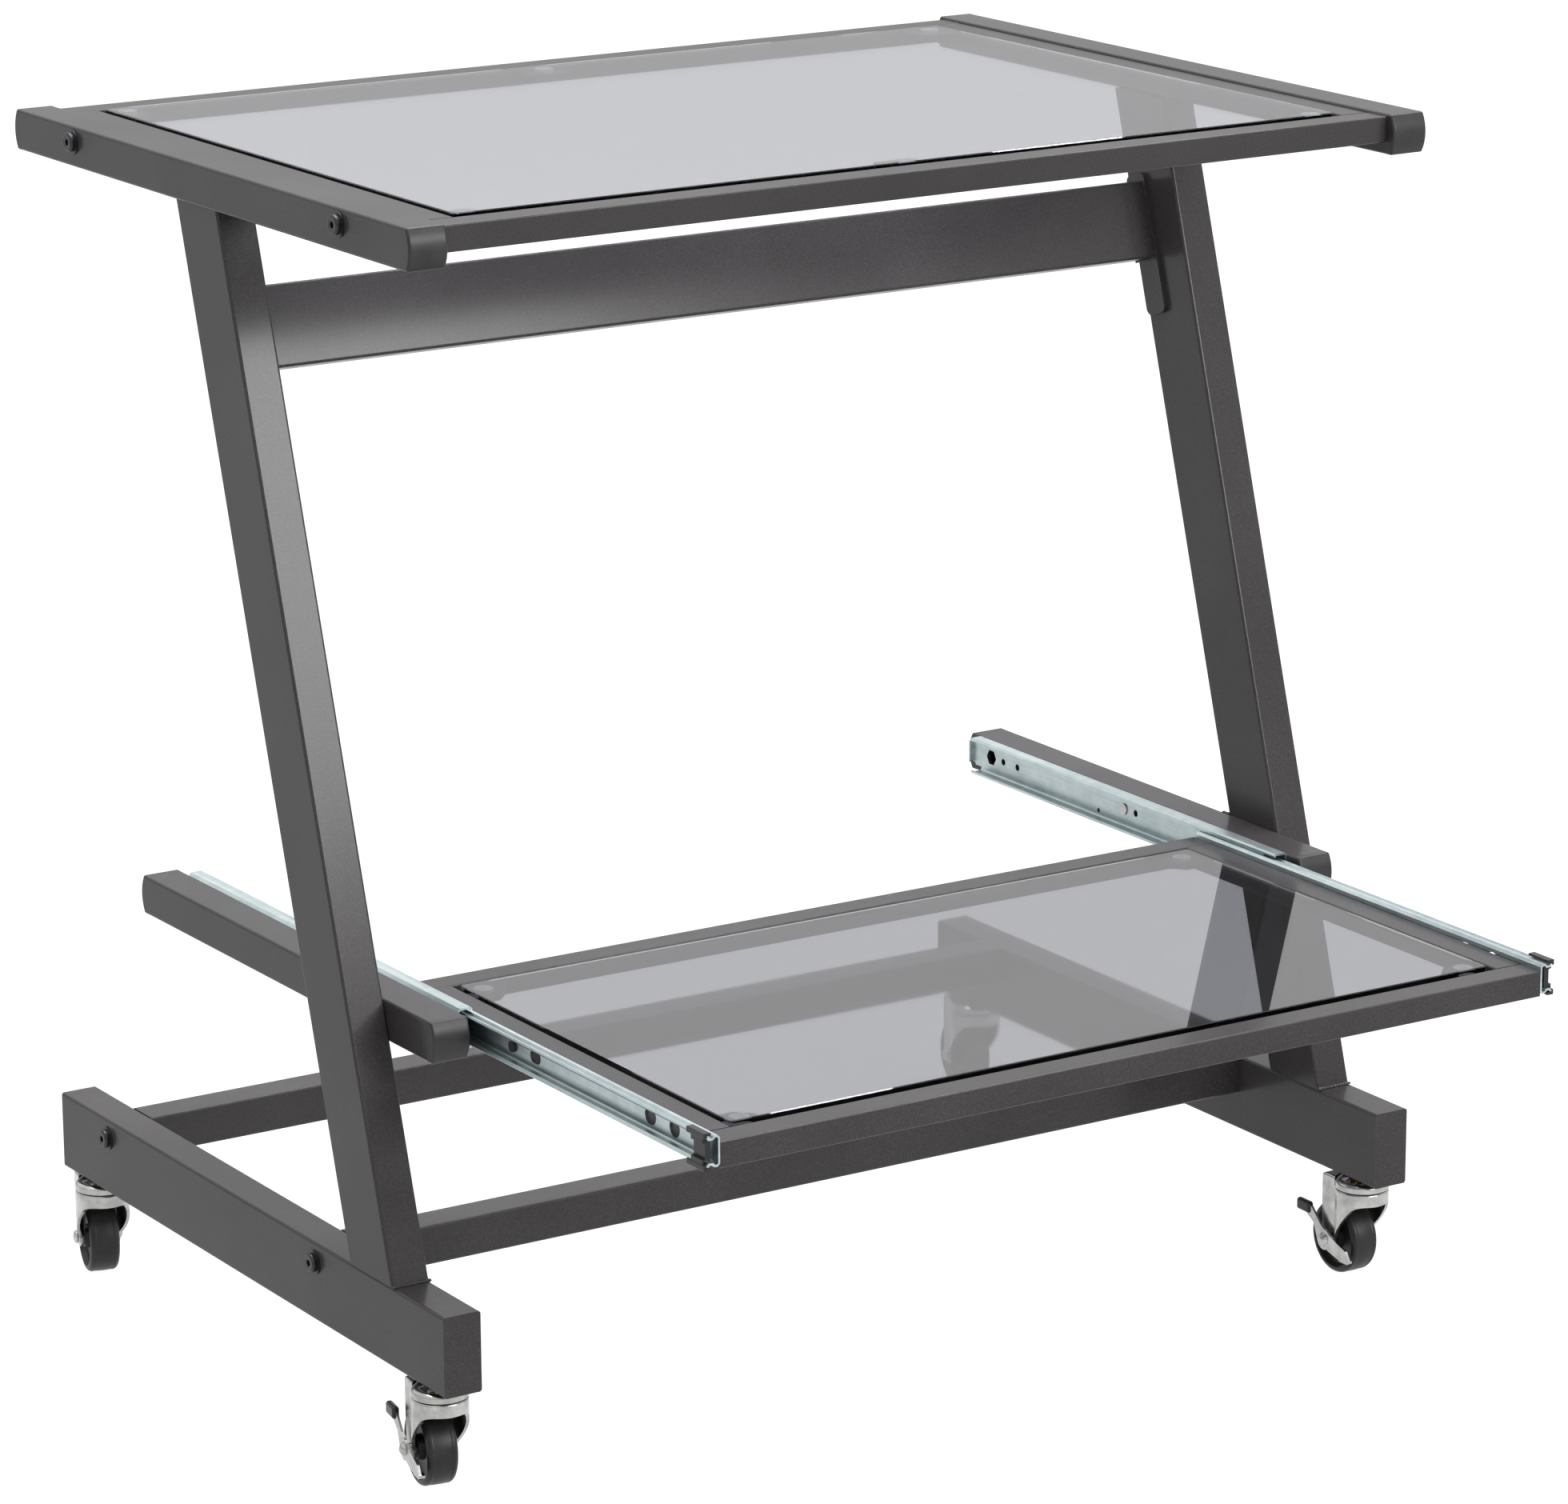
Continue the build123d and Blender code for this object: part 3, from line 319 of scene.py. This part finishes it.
# %% Model one puddle
random.seed(11)
puddle_mm = (1.9, 1.5, 1.15)
puddle_pitch_mm = 2.1
puddle_cut = -0.55  # the ball is cut this far below its middle, as a share of its radius
size_change = (0.82, 1.18)
tilt_change, yaw_change = 0.3, 0.35  # radians either way
bpy.ops.object.select_all(action="DESELECT")
bpy.ops.mesh.primitive_uv_sphere_add(segments=14, ring_count=8, radius=1.0, location=(0, 0, 0))
puddle = bpy.context.object
puddle.name = "weld_puddle"
bpy.ops.object.mode_set(mode="EDIT")
bpy.ops.mesh.select_all(action="SELECT")
bpy.ops.mesh.bisect(plane_co=(0, 0, puddle_cut), plane_no=(0, 0, 1), use_fill=True, clear_inner=True)
bpy.ops.object.mode_set(mode="OBJECT")
bpy.ops.object.shade_smooth()
puddle.data.materials.append(graphite_coat)
print("faces in a puddle:", len(puddle.data.polygons))


def weld_bead(name, start_mm, end_mm):
    """String puddles from start to end, join them and fix the result to the frame."""
    start, end = Vector(start_mm) * MM, Vector(end_mm) * MM
    steps = max(2, round((end - start).length / (puddle_pitch_mm * MM)))
    heading = (end - start).to_track_quat("X", "Z").to_euler()
    drops = []
    for i in range(steps + 1):
        drop = puddle.copy()
        drop.data = puddle.data.copy()
        drop.location = start.lerp(end, i / steps)
        grow = random.uniform(*size_change)
        drop.scale = [grow * side * MM for side in puddle_mm]
        tilt = heading.x + random.uniform(-tilt_change, tilt_change)
        drop.rotation_euler = (tilt, heading.y, heading.z + random.uniform(-yaw_change, yaw_change))
        bpy.context.collection.objects.link(drop)
        drops.append(drop)
    bpy.ops.object.select_all(action="DESELECT")
    for drop in drops:
        drop.select_set(True)
    bpy.context.view_layer.objects.active = drops[0]
    bpy.ops.object.join()
    bpy.ops.object.transform_apply(location=True, rotation=True, scale=True)
    drops[0].name = name
    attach(drops[0], "frame")


# %% Weld the legs, slide rails and apron
leg_inner_mm, leg_outer_mm = 327.0, 352.0
leg_foot_mm = (-91.4, 120.5)
rail_corner_mm = (9.5, 280.8)
corner_bead_mm = 5.0
apron_under_mm = ((96.0, 633.0), (113.0, 628.0))
apron_bead_inset_mm = 3.4
beads = 0
for side, sign in (("left", -1), ("right", 1)):
    outer_x, inner_x = sign * (leg_outer_mm - 1), sign * (leg_inner_mm + 1)
    weld_bead(f"{side}_leg_foot_weld", (outer_x, *leg_foot_mm), (inner_x, *leg_foot_mm))
    corner_x, (corner_y, corner_z) = sign * leg_inner_mm, rail_corner_mm
    corner_end = (corner_x, corner_y + corner_bead_mm, corner_z)
    weld_bead(f"{side}_slide_rail_weld", (corner_x, corner_y, corner_z), corner_end)
    (front_y, front_z), (back_y, back_z) = apron_under_mm
    plate_x = sign * (leg_inner_mm - apron_bead_inset_mm)
    weld_bead(f"{side}_apron_weld", (plate_x, front_y, front_z), (plate_x, back_y, back_z))
    beads += 3
bpy.data.objects.remove(puddle)
print("weld beads:", beads)

# %% [markdown]
# ## Caster nuts and rivets
# Each caster's stem is locked by a yellow zinc nut that sits in the dished race, and the wheel's
# axle is a rivet whose head is spread into a dome. The nut is a six-sided cylinder with every edge
# bevelled, which is how a real nut's corners are turned off. The dome is half a ball, flattened.
# Both are made once, and each copy is placed by measuring the CAD part that it dresses.


# %% Measure a CAD part
def span(node_name):
    """Lowest and highest corner of a CAD part, in metres."""
    spots = [desk_nodes[node_name].matrix_world @ v.co for v in desk_nodes[node_name].data.vertices]
    return [Vector([pick(spot[axis] for spot in spots) for axis in range(3)]) for pick in (min, max)]


def settle(piece, name, body):
    """Freeze the piece's place into its mesh and fix it to a body."""
    bpy.ops.object.select_all(action="DESELECT")
    piece.select_set(True)
    bpy.context.view_layer.objects.active = piece
    bpy.ops.object.transform_apply(location=True, rotation=True, scale=True)
    piece.name = name
    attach(piece, body)


def duplicate(pattern):
    """A copy of the pattern with a mesh of its own."""
    twin = pattern.copy()
    twin.data = pattern.data.copy()
    bpy.context.collection.objects.link(twin)
    return twin


# %% Stem nuts
nut_flats_mm, nut_height_mm, nut_bevel_mm = 13.6, 4.7, 0.5
bpy.ops.object.select_all(action="DESELECT")
nut_radius_mm = nut_flats_mm / 2 / math.cos(math.pi / 6)
bpy.ops.mesh.primitive_cylinder_add(
    vertices=6, radius=nut_radius_mm * MM, depth=nut_height_mm * MM, location=(0, 0, 0))
nut = bpy.context.object
bpy.ops.object.mode_set(mode="EDIT")
bpy.ops.mesh.select_all(action="SELECT")
bpy.ops.mesh.bevel(offset=nut_bevel_mm * MM, segments=2, affect="EDGES")
bpy.ops.object.mode_set(mode="OBJECT")
nut.data.materials.append(stem_zinc)
foot_underside_mm, nut_gap_mm = 70.0, 0.1
for corner in corners:
    low, high = span(f"{corner}_swivel_race")
    copy = duplicate(nut)
    middle = (low + high) / 2
    copy.location = (middle.x, middle.y, (foot_underside_mm - nut_gap_mm - nut_height_mm / 2) * MM)
    settle(copy, f"{corner}_stem_nut", "frame")
bpy.data.objects.remove(nut)

# %% Axle rivets
rivet_radius_mm, rivet_rise_mm, rivet_seat_mm = 4.4, 2.2, 1.2
end_slice_mm = 0.3  # how near its end a point of the axle counts as on the end face
bpy.ops.object.select_all(action="DESELECT")
bpy.ops.mesh.primitive_uv_sphere_add(
    segments=32, ring_count=16, radius=rivet_radius_mm * MM, location=(0, 0, 0))
rivet = bpy.context.object
bpy.ops.object.mode_set(mode="EDIT")
bpy.ops.mesh.select_all(action="SELECT")
bpy.ops.mesh.bisect(plane_co=(0, 0, 0), plane_no=(0, 0, 1), use_fill=True, clear_inner=True)
bpy.ops.object.mode_set(mode="OBJECT")
bpy.ops.object.shade_smooth()
rivet.data.materials.append(caster_zinc)
caster_turns = {"rear_left": -14.5, "rear_right": -10.0}
for corner, degrees in caster_turns.items():
    heading = math.radians(degrees)
    outwards = Vector((-math.cos(heading), -math.sin(heading), 0))
    axle = desk_nodes[f"{corner}_axle"]
    spots = [axle.matrix_world @ v.co for v in axle.data.vertices]
    reach = max(spot.dot(outwards) for spot in spots)
    ends = [spot for spot in spots if spot.dot(outwards) > reach - end_slice_mm * MM]
    copy = duplicate(rivet)
    copy.scale = (1, 1, rivet_rise_mm / rivet_radius_mm)
    copy.rotation_euler = outwards.to_track_quat("Z", "Y").to_euler()
    copy.location = sum(ends, Vector()) / len(ends) - outwards * rivet_seat_mm * MM
    settle(copy, f"{corner}_axle_rivet", f"{corner}_swivel")
bpy.data.objects.remove(rivet)
print("nuts:", len(corners), "rivets:", len(caster_turns))

# %% [markdown]
# ## Light and camera
# The desk stands on a wide white sweep that glows a little, like a light table, so it casts no
# shadow. A large soft lamp hangs overhead, so tops read light. One in front leaves a glow on the
# leaning faces of the left leg and the apron; the panes are left out of its light, because they
# would mirror it from behind. A narrow strip draws bright lines along rounded corners and lights
# nothing else. The room is brighter overhead than at eye level, which keeps upright faces dark.
# The camera is a long lens from the front left, a little above the desktop.

# %% Floor and lamps
floor_radius, floor_glow = 60.0, 0.96
desk_middle = (0, 0, 0.4)
overhead_watts, overhead_size, overhead_spot = 480, (4.0, 3.0), (0.6, 0.8, 5.0)
front_watts, front_size, front_spot = 95, (1.7, 1.0), (1.2, -3.6, 1.85)
strip_watts, strip_size, strip_spot = 30, (3.0, 0.14), (2.0, -0.3, 3.4)
bpy.ops.object.select_all(action="DESELECT")
bpy.ops.mesh.primitive_circle_add(vertices=96, radius=floor_radius, fill_type="NGON", location=(0, 0, 0))
floor = bpy.context.object
floor.name = "studio_floor"
floor_paint, floor_shader, place = start_finish(
    "white_studio_sweep", Base_Color=paint_hex("#484848"), Roughness=0.9,
    Emission_Color=paint_hex("#ffffff"), Emission_Strength=floor_glow)
floor.data.materials.append(floor_paint)
floor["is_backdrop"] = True


def soft_lamp(name, watts, size, spot, aim, sheen_only=False):
    """A rectangular softbox; sheen_only lamps are seen in reflections but light no flat surface."""
    data = bpy.data.lights.new(name, "AREA")
    data.energy, data.shape, data.size, data.size_y = watts, "RECTANGLE", size[0], size[1]
    lamp = bpy.data.objects.new(name, data)
    lamp.location = spot
    lamp.rotation_euler = (Vector(aim) - Vector(spot)).to_track_quat("-Z", "Y").to_euler()
    bpy.context.collection.objects.link(lamp)
    if sheen_only:
        lamp.visible_diffuse = False
        lamp.visible_transmission = False
    lamp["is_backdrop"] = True
    return lamp


soft_lamp("overhead_softbox", overhead_watts, overhead_size, overhead_spot, desk_middle)
front_lamp = soft_lamp("front_softbox", front_watts, front_size, front_spot, desk_middle)
soft_lamp("corner_strip", strip_watts, strip_size, strip_spot, desk_middle, sheen_only=True)

no_glare = bpy.data.collections.new("panes_without_front_glare")
for pane in ("top_glass", "tray_glass"):
    no_glare.objects.link(desk_nodes[pane])
for entry in no_glare.collection_objects:
    entry.light_linking.link_state = "EXCLUDE"
front_lamp.light_linking.receiver_collection = no_glare

# %% Room light, dim at eye level and white overhead
room_strength = 1.25
room_stops = [(0.0, "#b0b0b0"), (0.17, "#c4c4c4"), (0.36, "#ffffff")]
room = bpy.data.worlds.new("white_studio")
bpy.context.scene.world = room
room.use_nodes = True
direction = put(room, "ShaderNodeTexCoord").outputs["Generated"]
height = put(room, "ShaderNodeSeparateXYZ", inputs={"Vector": direction}).outputs["Z"]
backdrop = room.node_tree.nodes["Background"]
room_shade = put(room, "ShaderNodeValToRGB", inputs={"Fac": height}, stops=room_stops)
link(room, room_shade.outputs["Color"], backdrop, "Color")
backdrop.inputs["Strength"].default_value = room_strength
bpy.context.scene.view_settings.view_transform = "Standard"

# %% Camera
lens_mm, sensor_mm = 142.97, 36.0
eye = Vector((-1997.4, -3124.1, 1374.8)) * MM
turn, tilt, roll = math.radians(-32.222), math.radians(15.941), math.radians(-0.332)
back = Vector((math.sin(turn) * math.cos(tilt), -math.cos(turn) * math.cos(tilt), math.sin(tilt)))
level = Vector((math.cos(turn), math.sin(turn), 0))
rise = back.cross(level)
right = math.cos(roll) * level + math.sin(roll) * rise
up = back.cross(right)
lens = bpy.data.cameras.new("catalogue_camera")
lens.lens, lens.sensor_width, lens.sensor_fit = lens_mm, sensor_mm, "HORIZONTAL"
lens.shift_x, lens.shift_y = 0.0067, 0.0575
lens.clip_end = 200
camera = bpy.data.objects.new("catalogue_camera", lens)
camera.matrix_world = Matrix.Translation(eye) @ Matrix((right, up, back)).transposed().to_4x4()
bpy.context.collection.objects.link(camera)
bpy.context.scene.camera = camera
camera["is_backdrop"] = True
print("camera:", [round(value, 3) for value in eye], "lens:", lens_mm)

# %% [markdown]
# ## Size of the finished desk
# The size of the finished desk, with everything added to it, is printed.

# %% Write the sizes and finish
low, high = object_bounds()
print("size (m):", [round(b - a, 4) for a, b in zip(low, high)])
